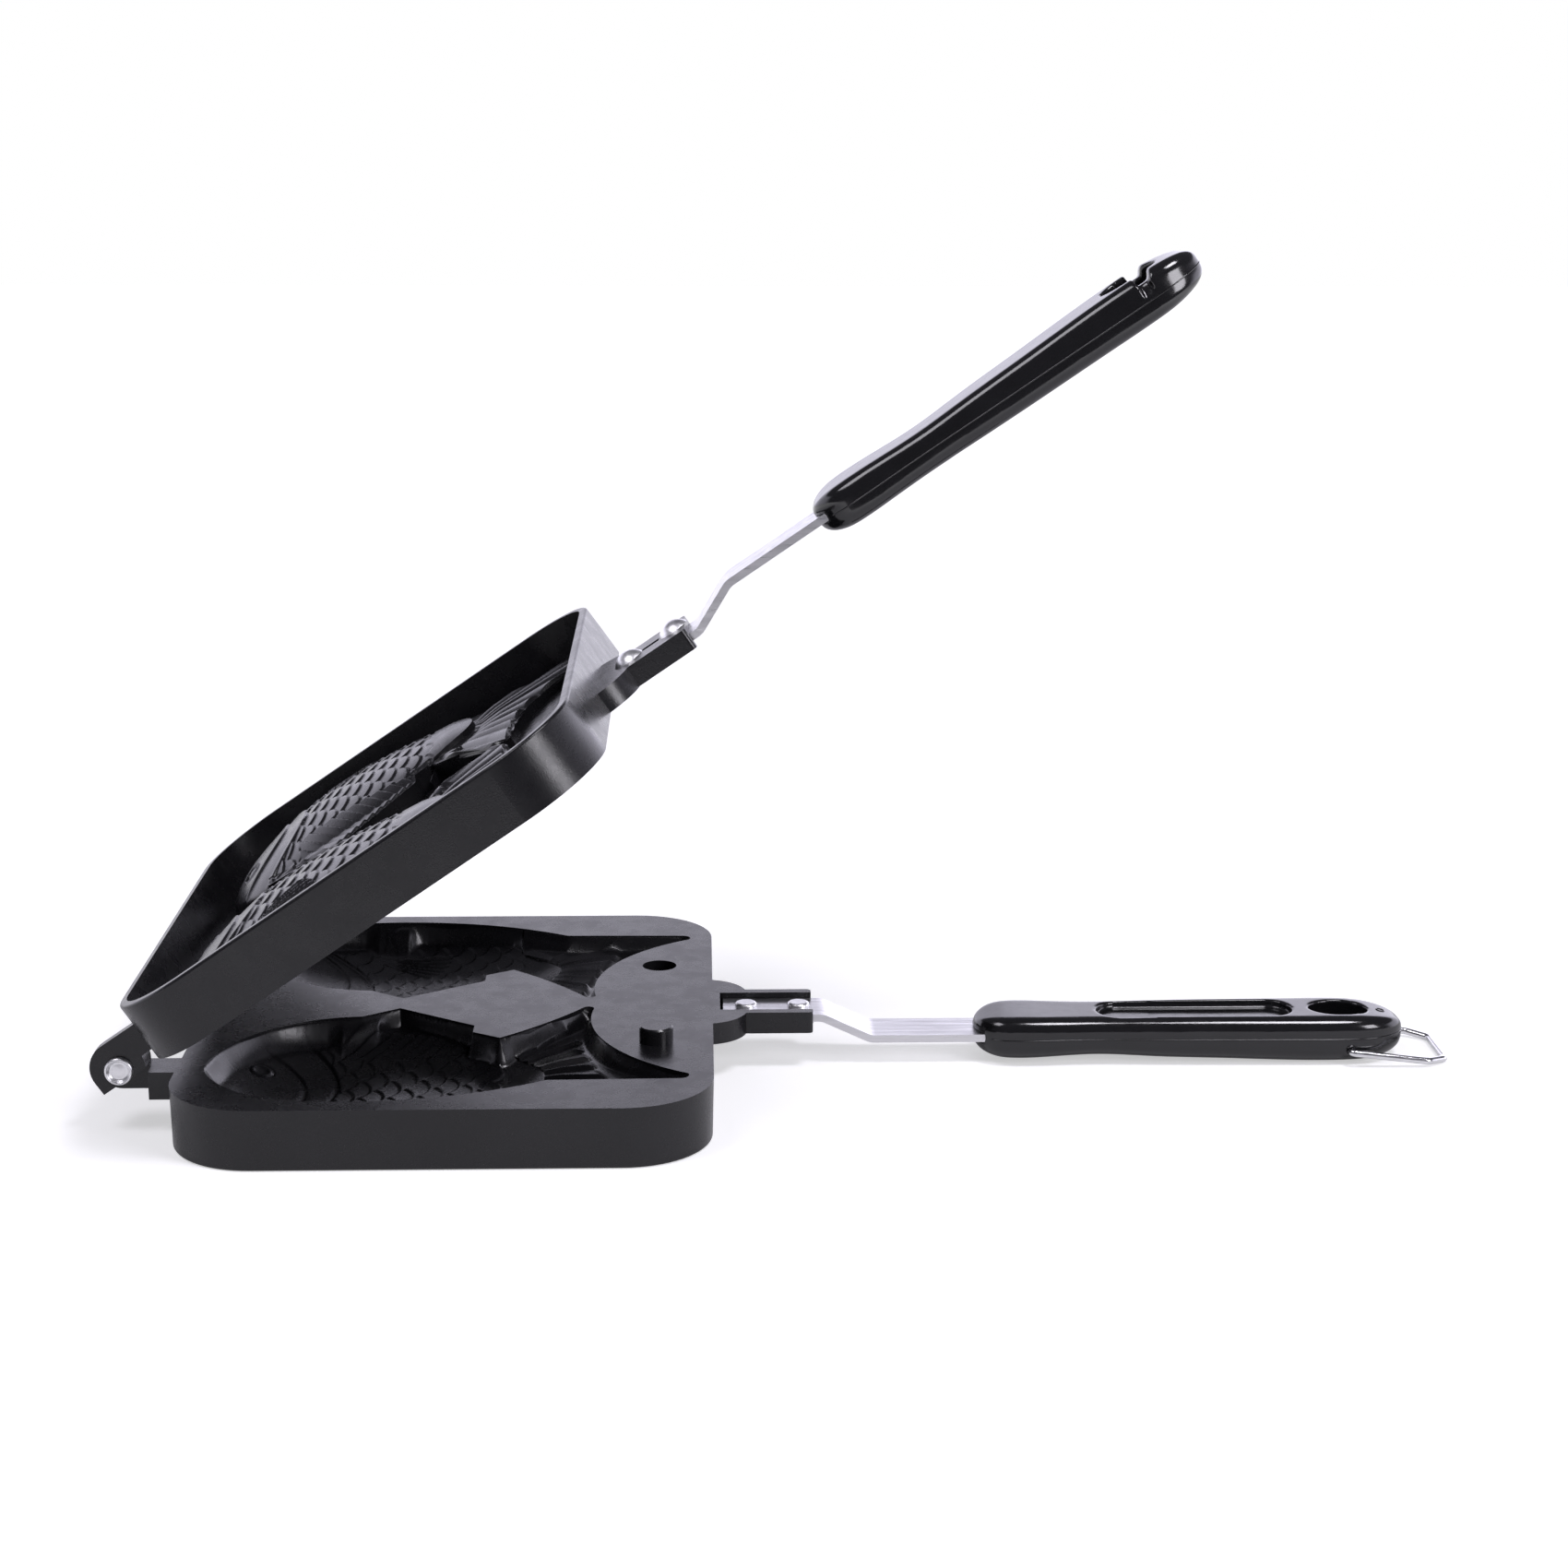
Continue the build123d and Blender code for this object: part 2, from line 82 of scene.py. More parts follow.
class Graph:
    """A short way to write a node tree. Its helpers take and give output sockets."""

    def __init__(self, tree):
        self.tree = tree
        tree.nodes.clear()

    def add(self, kind, **inputs):
        node = self.tree.nodes.new(kind)
        for key, value in inputs.items():
            node.inputs[key.replace("_", " ")].default_value = value
        return node

    def link(self, socket, node, into):
        self.tree.links.new(socket, node.inputs[into])

    def maths(self, operation, a, b):
        node = self.add("ShaderNodeMath")
        node.operation = operation
        self.link(a, node, 0)
        self.link(b, node, 1)
        return node.outputs[0]

    def rescale(self, value, interpolation="LINEAR", **limits):
        node = self.add("ShaderNodeMapRange", **limits)
        node.interpolation_type = interpolation
        self.link(value, node, "Value")
        return node.outputs["Result"]

    def mix(self, factor, low, high, clamp=True):
        node = self.add("ShaderNodeMix")
        node.data_type = "RGBA"
        node.clamp_factor = clamp
        node.inputs[MIX_LOW].default_value = (*low, 1)
        node.inputs[MIX_HIGH].default_value = (*high, 1)
        self.link(factor, node, MIX_FACTOR)
        return node.outputs[MIX_RESULT]

    def seen_directly(self):
        """1 for the rays of the camera, also after they went through something clear."""
        path = self.add("ShaderNodeLightPath").outputs
        return self.maths("MAXIMUM", path["Is Camera Ray"], path["Is Transmission Ray"])


class Surface(Graph):
    """A principled material, varied by noises in the object's own space."""

    def __init__(self, name):
        self.material = bpy.data.materials.new(name)
        self.material.use_nodes = True
        super().__init__(self.material.node_tree)
        out = self.add("ShaderNodeOutputMaterial")
        self.shader = self.add("ShaderNodeBsdfPrincipled")
        self.link(self.shader.outputs["BSDF"], out, "Surface")
        self.coords = self.add("ShaderNodeTexCoord").outputs["Object"]

    def noise(self, scale, detail, rough, stretch=None):
        where = self.coords
        if stretch:
            mapping = self.add("ShaderNodeMapping", Scale=stretch)
            self.link(where, mapping, "Vector")
            where = mapping.outputs["Vector"]
        node = self.add("ShaderNodeTexNoise", Scale=scale, Detail=detail, Roughness=rough)
        self.link(where, node, "Vector")
        return node.outputs["Fac"]

    def colour(self, noise, low, high):
        factor = self.rescale(noise, From_Min=NOISE_BAND[0], From_Max=NOISE_BAND[1])
        self.link(self.mix(factor, low, high), self.shader, "Base Color")

    def roughness(self, noise, low, high, band=NOISE_BAND):
        value = self.rescale(
            noise, From_Min=band[0], From_Max=band[1], To_Min=low, To_Max=high)
        self.link(value, self.shader, "Roughness")

    def bump(self, *layers):
        """Stacks bumps, each of them a noise and its height in metres."""
        last = None
        for noise, height in layers:
            node = self.add("ShaderNodeBump", Strength=1.0, Distance=height)
            self.link(noise, node, "Height")
            if last:
                self.link(last, node, "Normal")
            last = node.outputs["Normal"]
        self.link(last, self.shader, "Normal")

    def set(self, **values):
        for key, value in values.items():
            self.shader.inputs[key].default_value = value


def coated_metal():
    """Die-cast aluminium under a black satin non-stick coating with a fine grain."""
    m = Surface("black_coating")
    m.colour(m.noise(38.0, 3.0, 0.6), (0.0055, 0.0054, 0.0064), (0.0085, 0.0083, 0.0096))
    m.roughness(m.noise(160.0, 4.0, 0.6), 0.24, 0.31)
    grain = m.noise(2600.0, 2.0, 0.6)
    pits = m.noise(1000.0, 3.0, 0.55)
    m.bump((grain, 0.000026), (pits, 0.00001))
    m.set(IOR=1.5)
    return m.material


def gloss_resin():
    """Black phenolic resin as it leaves a polished mould: glossy, with faint waves."""
    m = Surface("black_resin")
    m.colour(m.noise(90.0, 3.0, 0.55), (0.0055, 0.0055, 0.006), (0.0085, 0.0085, 0.0095))
    m.roughness(m.noise(420.0, 4.0, 0.65), 0.1, 0.19, (0.3, 0.75))
    waves = m.noise(55.0, 1.0, 0.4)
    peel = m.noise(500.0, 1.0, 0.4)
    m.bump((waves, 0.00012), (peel, 0.000006))
    m.set(IOR=1.58)
    return m.material


def satin_steel():
    """Steel strip with a drawn finish, streaked along its length."""
    m = Surface("satin_steel")
    streaks = m.noise(260.0, 4.0, 0.6, (0.06, 1.6, 1.6))
    m.colour(streaks, (0.68, 0.675, 0.69), (0.84, 0.835, 0.85))
    m.roughness(m.noise(700.0, 3.0, 0.6, (0.1, 1.5, 1.5)), 0.26, 0.4)
    fine = m.noise(2400.0, 2.0, 0.5, (0.05, 1.4, 1.4))
    m.bump((fine, 0.000012))
    m.set(Metallic=1.0)
    return m.material


def rivet_metal():
    """Bright aluminium, a little dulled and marked by the rivet tool."""
    m = Surface("bright_aluminium")
    dull = m.noise(900.0, 3.0, 0.6)
    m.colour(dull, (0.88, 0.88, 0.89), (0.96, 0.96, 0.97))
    m.roughness(dull, 0.3, 0.42)
    m.bump((m.noise(1500.0, 2.0, 0.5), 0.000006))
    m.set(Metallic=1.0)
    return m.material


def plated_wire():
    """Plated spring wire with faint drawing lines."""
    m = Surface("plated_wire")
    lines = m.noise(1800.0, 3.0, 0.6, (0.1, 1.0, 1.0))
    m.colour(lines, (0.7, 0.7, 0.71), (0.86, 0.86, 0.87))
    m.roughness(lines, 0.12, 0.24)
    m.bump((lines, 0.000008))
    m.set(Metallic=1.0)
    return m.material


COATING = coated_metal()
RESIN = gloss_resin()
STEEL = satin_steel()
RIVET = rivet_metal()
WIRE = plated_wire()
FINISH = {
    "mould": COATING, "grip": RESIN, "steel_bar": STEEL, "rivet": RIVET, "wire": WIRE,
}


def dress(obj, material):
    """Gives an object one material in every slot."""
    if not obj.material_slots:
        obj.data.materials.append(material)
    for slot in obj.material_slots:
        slot.material = material


for part in frame["record"]["subparts"]:
    dress(nodes[part["node"]], FINISH[part["material_slot"]])


def piece(name, verts, faces, body, material):
    """A new smooth mesh object in the row frame, riding on a body."""
    mesh = bpy.data.meshes.new(name)
    mesh.from_pydata([tuple(v) for v in verts], [], faces)
    mesh.update()
    mesh.shade_smooth()
    obj = bpy.data.objects.new(name, mesh)
    bpy.context.scene.collection.objects.link(obj)
    mesh.materials.append(material)
    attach(obj, body)
    return obj


# the plain hollow and bulge, in millimetres in the closed frame, for the near fish

BODY_LINE = -43.0
BODY_DEPTH = 11.2
TAIL_DEPTH = 6.2
TAIL_EDGE_DEPTH = 2.8
FIN_DEPTH = 5.5
SHELL = 2.3
HEAD_WALL = 1.3
TAIL_WALL = 1.5
BOWL_CENTRE = (44.0, BODY_LINE)
BOWL_REACH = (50.0, 36.0)
HEAD_REACH = 38.0
TAIL_START = 76.0
TAIL_END = 126.7
FIN_EDGE = -22.0
FIN_SPAN = (25.0, 85.0)

MOUTH = (6.5, -48.0)
FIN_ROOT = (40.0, -10.5)
TAIL_NEAR_TIP = (122.6, -54.0)
TAIL_FAR_TIP = (96.0, -4.2)
NOWHERE = 1e9
TINY = 1e-12


def spline(points, steps):
    """A smooth line through the points, its last point left out."""
    curve = bpy.data.curves.new("line", "CURVE")
    curve.dimensions = "3D"
    line = curve.splines.new("BEZIER")
    line.bezier_points.add(len(points) - 1)
    for target, (x, y) in zip(line.bezier_points, points):
        target.co = (x, y, 0)
        target.handle_left_type = target.handle_right_type = "AUTO"
    curve.resolution_u = steps
    holder = bpy.data.objects.new("line", curve)
    mesh = bpy.data.meshes.new_from_object(holder)
    line_points = [(v.co.x, v.co.y) for v in mesh.vertices]
    bpy.data.objects.remove(holder)
    bpy.data.curves.remove(curve)
    bpy.data.meshes.remove(mesh)
    return line_points[:-1]


def fish_outline():
    """The plan of the near fish as a dense polygon, round from its mouth by the back."""
    points = spline([MOUTH, (9.5, -33.0), (20.0, -18.5), FIN_ROOT], 10)
    points += [FIN_ROOT, (49.0, -4.0), (69.0, -18.0), (69.0, -23.0)]
    points += spline([(76.0, -27.5), (85.0, -18.5), TAIL_FAR_TIP], 8)
    points += [TAIL_FAR_TIP, (97.3, -3.7), (98.3, -4.3)]
    points += spline([(98.5, -5.6), (101.0, -28.0), (109.0, -42.0), TAIL_NEAR_TIP], 8)
    points += [TAIL_NEAR_TIP, (123.0, -55.7), (122.3, -57.1), (120.6, -57.6)]
    belly = [(89.0, -58.2), (68.0, -68.2), (45.0, -71.8), (22.0, -67.8), (9.0, -55.0)]
    points += spline([*belly, MOUTH], 10)
    return np.array(points)


def edge_distance(points, outline):
    """Distance from each point to the outline, below zero inside it."""
    best = np.full(len(points), NOWHERE)
    inside = np.zeros(len(points), bool)
    for a, b in zip(outline, np.roll(outline, -1, axis=0)):
        d = b - a
        length = d @ d
        if length < TINY:
            continue
        t = np.clip(((points - a) @ d) / length, 0, 1)
        gap = points - a - t[:, None] * d
        best = np.minimum(best, (gap ** 2).sum(1))
        crosses = (a[1] > points[:, 1]) != (b[1] > points[:, 1])
        if abs(d[1]) > TINY:
            at = a[0] + (points[:, 1] - a[1]) * d[0] / d[1]
            inside ^= crosses & (points[:, 0] < at)
    best = np.sqrt(best)
    return np.where(inside, -best, best)


def smooth_step(t):
    t = np.clip(t, 0, 1)
    return t * t * (3 - 2 * t)


def bell(distance, width):
    """1 at no distance, falling off to both sides."""
    return np.exp(-((distance / width) ** 2))


def depth_of(x, y, grow):
    """How deep the plain hollow is, or with grow how high its backing bulge."""
    aft = x > BOWL_CENTRE[0]
    reach = np.where(aft, BOWL_REACH[0] + grow, HEAD_REACH + min(grow, HEAD_WALL))
    share = 1 - ((x - BOWL_CENTRE[0]) / reach) ** 2
    share = share - ((y - BOWL_CENTRE[1]) / (BOWL_REACH[1] + grow)) ** 2
    bowl = (BODY_DEPTH + grow) * np.sqrt(np.clip(share, 0, 1))
    slope = (x - TAIL_START + grow) / (TAIL_END - TAIL_START + grow)
    tail = TAIL_DEPTH + (TAIL_EDGE_DEPTH - TAIL_DEPTH) * slope + min(grow, TAIL_WALL)
    tail = np.where((x > TAIL_START - grow) & (x < TAIL_END), tail, 0)
    on_fin = (y > FIN_EDGE - grow) & (x > FIN_SPAN[0]) & (x < FIN_SPAN[1])
    fin = np.where(on_fin, FIN_DEPTH + grow, 0)
    return np.maximum(bowl, np.maximum(tail, fin))


OUTLINE = fish_outline()


# the cake's pattern: how far each form stands out, in millimetres

SCALE_PITCH = 7.2
SCALE_ROW = 5.0
SCALE_R = 5.3
SCALE_SLOPE = 0.13
SCALE_SQUASH = 0.8
SCALE_ROOT = 0.3
SCALE_CROWN = 0.12
SCALE_TAPER = ((55.0, 88.0), (1.0, 0.82))
LAST_SCALE = 74.0
DEEPEST = 1.45

TAIL_FAN = (72.0, -42.0)
TAIL_CRESTS = (-40.0, -27.0, -15.4, -6.7, 8.2, 21.3, 34.4, 44.5, 56.0, 68.0)
PLATE_TIP = 88.0
PLATE_SWEEP = 0.038
PLATE_REACH = 12.0
PLATE_RISE = ((69.0, 76.0, 81.0, 88.0), (0.2, 0.7, 1.4, 1.95))

RIB_EDGE = -21.5
RIB_SPAN = (36.0, 72.0)
RIB_SLANT = 0.8
RIB_PITCH = 3.6
RIB_BASE = 0.15
RIB_HEIGHT = 0.6
RIB_CURVE = 0.8

PECTORAL = (36.0, -61.0)
PECTORAL_REACH = 19.0
PECTORAL_ANGLES = (-10.0, 36.0)
PECTORAL_RAYS = 6
PECTORAL_STEP = 0.35
PECTORAL_TIP = 1.3
PECTORAL_BASE = 0.25
PECTORAL_HEIGHT = 0.8
PECTORAL_CURVE = 1.2
PECTORAL_ROOT = 7.0

GILL_1 = (8.0, -43.0, 22.0)
GILL_2 = (9.1, -38.3, 28.0)
GILL_BASE = 0.4
GILL_HEIGHT = 0.4
GILL_CURVE = 1.3
HEAD_BASE = 0.5
HEAD_HEIGHT = 0.35
HEAD_FADE = 9.0
FOLD_HEIGHT = 0.12
FOLD_INSIDE = 0.75
FOLD_WIDTH = 0.65

EYE = (17.7, -32.5)
EYE_RING_R = 3.0
EYE_RING_WIDTH = 0.5
PUPIL_R = 2.0
EYE_FLOOR = 0.1
EYE_HEIGHT = 0.9
PUPIL_SHARE = 0.85

LIPS = (8.0, -50.3)
LIPS_SLANT = 0.2
LIPS_WIDTH = 0.5
LIPS_END = 15.0
LIPS_FADE = 2.0
LIPS_DEPTH = 0.3


def plate_edge(y):
    """The pointed end of the smooth plate that covers the tail's root."""
    return PLATE_TIP - np.minimum(PLATE_SWEEP * (y - TAIL_FAN[1]) ** 2, PLATE_REACH)


def scale_relief(x, y, strength):
    """Overlapping scales, each rising towards its round free edge on the tail side."""
    slope = SCALE_SLOPE * strength
    v = (y - BODY_LINE) / np.interp(x, *SCALE_TAPER)
    height = np.where(x > PLATE_RISE[0][0], np.interp(x, *PLATE_RISE), 0.0)
    best = np.full(x.shape, NOWHERE)
    nearest_row = np.round(v / SCALE_ROW)
    for row_step in (-1, 0, 1):
        row = nearest_row + row_step
        shift = np.where(row % 2 == 0, 0.0, SCALE_PITCH / 2)
        nearest_column = np.round((x - shift) / SCALE_PITCH)
        for column_step in (-1, 0, 1):
            cx = (nearest_column + column_step) * SCALE_PITCH + shift
            du = x - cx
            dv = v - row * SCALE_ROW
            inside = (du * du + SCALE_SQUASH * dv * dv) < SCALE_R ** 2
            lead = inside & (cx < best) & (cx < LAST_SCALE)
            best = np.where(lead, cx, best)
            crown = 1 - SCALE_CROWN * (dv / SCALE_ROW) ** 2
            rise = slope * np.clip(du + SCALE_ROOT, 0, None) * crown
            height = np.where(lead, rise, height)
    return height


def with_back_fin(x, y, relief):
    """Slanted ribs on the back fin."""
    on_fin = (y > RIB_EDGE) & (x > RIB_SPAN[0]) & (x < RIB_SPAN[1])
    slant = (x - RIB_SLANT * (y - RIB_EDGE)) / RIB_PITCH
    rib = slant - np.floor(slant)
    return np.where(on_fin, RIB_BASE + RIB_HEIGHT * rib ** RIB_CURVE, relief)


def fan(angle, edges):
    """Which ray of a fan an angle is in, and how far across it."""
    ray = np.clip(np.searchsorted(edges, angle) - 1, 0, len(edges) - 2)
    across = (angle - edges[ray]) / (edges[ray + 1] - edges[ray])
    return ray, np.clip(across, 0, 1)


def with_side_fin(x, y, relief):
    """The side fin: rays from a point on the belly, with a stepped end."""
    fx, fy = x - PECTORAL[0], y - PECTORAL[1]
    radius, angle = np.hypot(fx, fy), np.degrees(np.arctan2(fy, fx))
    edges = np.linspace(*PECTORAL_ANGLES, PECTORAL_RAYS + 1)
    ray, across = fan(angle, edges)
    tip = PECTORAL_TIP * np.sqrt(np.clip(1 - (2 * across - 1) ** 2, 0, 1))
    reach = PECTORAL_REACH - PECTORAL_STEP * ray + tip
    in_fin = (angle > edges[0]) & (angle < edges[-1]) & (radius < reach)
    root = np.clip(radius / PECTORAL_ROOT, 0.2, 1)
    rays = PECTORAL_BASE + PECTORAL_HEIGHT * across ** PECTORAL_CURVE * root
    return np.where(in_fin, rays, relief)


def with_head(x, y, relief):
    """Two gill covers and the smooth head, each lying over what is behind it."""
    r1 = np.hypot(x - GILL_1[0], y - GILL_1[1]) - GILL_1[2]
    r2 = np.hypot(x - GILL_2[0], y - GILL_2[1]) - GILL_2[2]
    share = np.clip(r1 / np.maximum(r1 - r2, 0.5), 0, 1)
    cover = GILL_BASE + GILL_HEIGHT * share ** GILL_CURVE
    relief = np.where((r2 < 0) & (r1 >= 0), cover, relief)
    head = HEAD_BASE + HEAD_HEIGHT * np.clip(1 + r1 / HEAD_FADE, 0, 1) ** 2
    relief = np.where(r1 < 0, head, relief)
    for r in (r1, r2):
        relief = relief + FOLD_HEIGHT * bell(r + FOLD_INSIDE, FOLD_WIDTH)
    return relief


def with_eye(x, y, relief):
    """A ring with a round pupil in a flat eye."""
    r = np.hypot(x - EYE[0], y - EYE[1])
    ring = bell(r - EYE_RING_R, EYE_RING_WIDTH)
    pupil = np.sqrt(np.clip(1 - (r / PUPIL_R) ** 2, 0, 1))
    relief = np.where(r < EYE_RING_R, EYE_FLOOR, relief)
    return np.maximum(relief, EYE_HEIGHT * np.maximum(ring, PUPIL_SHARE * pupil))


def with_lips(x, y, relief):
    """The groove of the closed mouth."""
    groove = bell(y - LIPS[1] - LIPS_SLANT * (x - LIPS[0]), LIPS_WIDTH)
    return relief - LIPS_DEPTH * (groove * smooth_step((LIPS_END - x) / LIPS_FADE))


def fish_relief(x, y, strength=1.0):
    """How far the pattern of the cake's head and body stands out."""
    relief = scale_relief(x, y, strength)
    for add_form in (with_back_fin, with_side_fin, with_head, with_eye, with_lips):
        relief = add_form(x, y, relief)
    return np.clip(relief, 0.0, PLATE_RISE[1][-1])


# the meshes' grids

CELL = 0.33
SAMPLES = 3
SWEEP_START = 60.0
RAY_SHARES = (0.0, 0.05, 0.16, 0.32, 0.5, 0.68, 0.83, 0.94, 1.0)
CREST_WIDTH = 0.16
FAN_BEND = 0.08
FAN_BEND_FROM = 26.0
FAN_SPAN = (-82.0, 86.0)
FAN_STEP = 3.0
TAIL_ROWS = 110
TAIL_RADII = np.arange(8.0, 75.0, 0.2)


def distance_grid(gx, gy):
    flat = np.stack([gx.ravel(), gy.ravel()], 1)
    return edge_distance(flat, OUTLINE).reshape(gx.shape)


def sheet_grid(reach):
    """Grid points over head and body, whose last column is the plate's end."""
    x0, y0 = OUTLINE.min(0) - reach - CELL
    y1 = OUTLINE[:, 1].max() + reach + CELL
    xs = PLATE_TIP - CELL * np.arange(int((PLATE_TIP - x0) / CELL) + 1)[::-1]
    ys = np.arange(y0, y1, CELL)
    gx, gy = np.meshgrid(xs, ys, indexing="ij")
    swept = smooth_step((gx - SWEEP_START) / (PLATE_TIP - SWEEP_START))
    gx = gx + (plate_edge(gy) - PLATE_TIP) * swept
    return gx, gy, distance_grid(gx, gy)


def tail_columns():
    """Angle, share across its ray and sideways shift of each line of the tail's mesh."""
    first, last = TAIL_CRESTS[0], TAIL_CRESTS[-1]
    columns = [(angle, 0.0, 0.0) for angle in np.arange(FAN_SPAN[0], first - 1, FAN_STEP)]
    columns.append((first, 0.0, -CREST_WIDTH / 2))
    for low, high in zip(TAIL_CRESTS, TAIL_CRESTS[1:]):
        for share in RAY_SHARES:
            shift = {0.0: CREST_WIDTH / 2, 1.0: -CREST_WIDTH / 2}.get(share, 0.0)
            columns.append((low + (high - low) * share, share, shift))
    columns.append((last, 0.0, CREST_WIDTH / 2))
    columns += [
        (angle, 0.0, 0.0) for angle in np.arange(last + FAN_STEP, FAN_SPAN[1], FAN_STEP)]
    return np.array(columns).T


def tail_grid(reach, start):
    """Lines along the tail's rays, from the plate's end to the outline grown by reach."""
    angle, share, shift = tail_columns()

    def at(radius):
        turn = np.radians(angle - FAN_BEND * (radius - FAN_BEND_FROM)) + shift / radius
        return TAIL_FAN[0] + radius * np.cos(turn), TAIL_FAN[1] + radius * np.sin(turn)

    x, y = at(TAIL_RADII[:, None])
    under = x < plate_edge(y) + start
    first = TAIL_RADII[under.sum(0) - 1]
    out = (distance_grid(x, y) > reach) & ~under
    last = np.maximum(TAIL_RADII[np.argmax(out, axis=0)], first + 0.5)
    rows = np.linspace(0, 1, TAIL_ROWS)[:, None]
    radius = first + (last - first) * rows
    gx, gy = at(radius)
    return gx, gy, distance_grid(gx, gy), radius, np.broadcast_to(share, gx.shape), angle


def softened(values_at, gx, gy):
    """The pattern averaged over each cell, so that steps don't show the grid."""
    total = np.zeros_like(gx)
    offsets = (np.arange(SAMPLES) - (SAMPLES - 1) / 2) * CELL / SAMPLES
    for ox in offsets:
        for oy in offsets:
            total += values_at(gx + ox, gy + oy)
    return total / SAMPLES ** 2


def closed_sheet(gx, gy, top, bottom, keep):
    """Vertices and faces of a closed thin body between two height fields."""
    index = -np.ones(gx.shape, int)
    quads = keep[:-1, :-1] & keep[1:, :-1] & keep[1:, 1:] & keep[:-1, 1:]
    used = np.zeros(gx.shape, bool)
    used[:-1, :-1] |= quads
    used[1:, :-1] |= quads
    used[1:, 1:] |= quads
    used[:-1, 1:] |= quads
    count = int(used.sum())
    index[used] = np.arange(count)
    verts = np.concatenate([
        np.stack([gx[used], gy[used], top[used]], 1),
        np.stack([gx[used], gy[used], bottom[used]], 1)])
    i, j = np.nonzero(quads)
    a, b = index[i, j], index[i + 1, j]
    c, d = index[i + 1, j + 1], index[i, j + 1]
    upper = np.stack([a, b, c, d], 1)
    lower = np.stack([d, c, b, a], 1) + count
    padded = np.pad(quads, 1)
    sides = []
    for di, dj, p, q in ((0, -1, a, b), (1, 0, b, c), (0, 1, c, d), (-1, 0, d, a)):
        open_side = ~padded[i + 1 + di, j + 1 + dj]
        first, second = p[open_side], q[open_side]
        sides.append(np.stack([second, first, first + count, second + count], 1))
    faces = np.concatenate([upper, lower, *sides])
    return verts, faces


def place(verts, faces, half, far):
    """Mirrors for the far fish and moves to the row frame, keeping the faces outward."""
    verts = verts.copy()
    if far:
        verts[:, 1] *= -1
    matrix = np.array(PLACES[half])
    placed = verts @ matrix[:3, :3].T + matrix[:3, 3]
    turned_inside_out = far != (half == "upper")
    if turned_inside_out:
        faces = [face[::-1] for face in faces]
    return placed, faces


# the fish sheets: the floors of the hollows and the backs of the bulges

CAVITY_REACH = 0.85
CAVITY_GRID_REACH = 0.9
CAVITY_THICKNESS = 0.5
SKIN = 0.06
RIM = 0.3
RIM_DEPTH = 0.12
WALL_TOP = 0.4
WALL_FILLET = ((30.0, 38.0), (3.4, 1.6))
WALL_SLOPE = (
    (8.0, 20.0, 32.0, 35.5, 44.0, 49.0, 70.0, 76.0, 120.0),
    (2.0, 2.3, 2.4, 1.25, 1.25, 5.0, 5.0, 2.1, 2.1))
CAVITY_STRENGTH = 0.6
CALM_HEAD = ((28.0, 44.0), (0.68, 1.0))
CALM_LEVEL = 0.7
QUIET_EDGE = ((30.0, 42.0), (6.0, 2.0))

RAY_DEPTH = 1.25
RAY_CURVE = 1.1
RAY_START = 9.0
RAY_GROWTH = 12.0
TAIL_EDGE_FADE = 2.0
RAY_ENDS = (
    (-27.0, -6.7, 8.2, 21.3, 34.4, 50.0, 68.0), (36.0, 31.5, 28.7, 29.0, 30.3, 36.0, 40.0))
RAY_END_FADE = 2.5
RAY_LIP = 0.12
RAY_LIP_AT = 0.03
RAY_LIP_WIDTH = 0.05

BACK_REACH = SHELL + 0.03
BACK_THICKNESS = 0.6
BACK_SUNK = 0.35
BACK_FADE = 1.6
BACK_TAIL_FADE = 0.5
BACK_TAIL_START = -3.0
# a back's sheet stays below these levels, inside the plate round its bulge
BACK_TOP_LIMIT = -0.4
BACK_LOW_LIMIT = -0.8
VALLEY = 0.05
RAY_HEIGHT = 1.1
RAY_ROUNDNESS = 1.7
BACK_RAY_START = 12.0
BACK_RAY_GROWTH = 14.0


def walled_depth(gx, away, floor):
    """The depth below the deck, with sloping walls that run into the floor in a curve."""
    inner = np.clip(-away, 0, None)
    wall = WALL_TOP + np.interp(gx, *WALL_SLOPE) * inner
    fillet = np.interp(gx, *WALL_FILLET)
    share = np.clip(0.5 + 0.5 * (wall - floor) / fillet, 0, 1)
    depth = floor * share + wall * (1 - share) - fillet * share * (1 - share)
    return np.maximum(depth, RIM_DEPTH)


def cavity_faces(gx, gy, away, relief, fade):
    """Top and bottom of a hollow's sheet, whose relief fades out towards its edge."""
    floor = depth_of(gx, gy, 0.0)
    inner = np.clip(-away, 0, None)
    lift = SKIN + relief * smooth_step((inner - RIM) / fade)
    return lift - walled_depth(gx, away, floor), -floor - CAVITY_THICKNESS


def cavity_sheet():
    """The patterned floor of a hollow: it stands just proud of the plain floor."""
    gx, gy, away = sheet_grid(CAVITY_GRID_REACH)
    relief = softened(lambda x, y: fish_relief(x, y, CAVITY_STRENGTH), gx, gy)
    relief = np.minimum(relief, DEEPEST)
    relief = CALM_LEVEL + (relief - CALM_LEVEL) * np.interp(gx, *CALM_HEAD)
    faces = cavity_faces(gx, gy, away, DEEPEST - relief, np.interp(gx, *QUIET_EDGE))
    return gx, gy, *faces, away < CAVITY_REACH


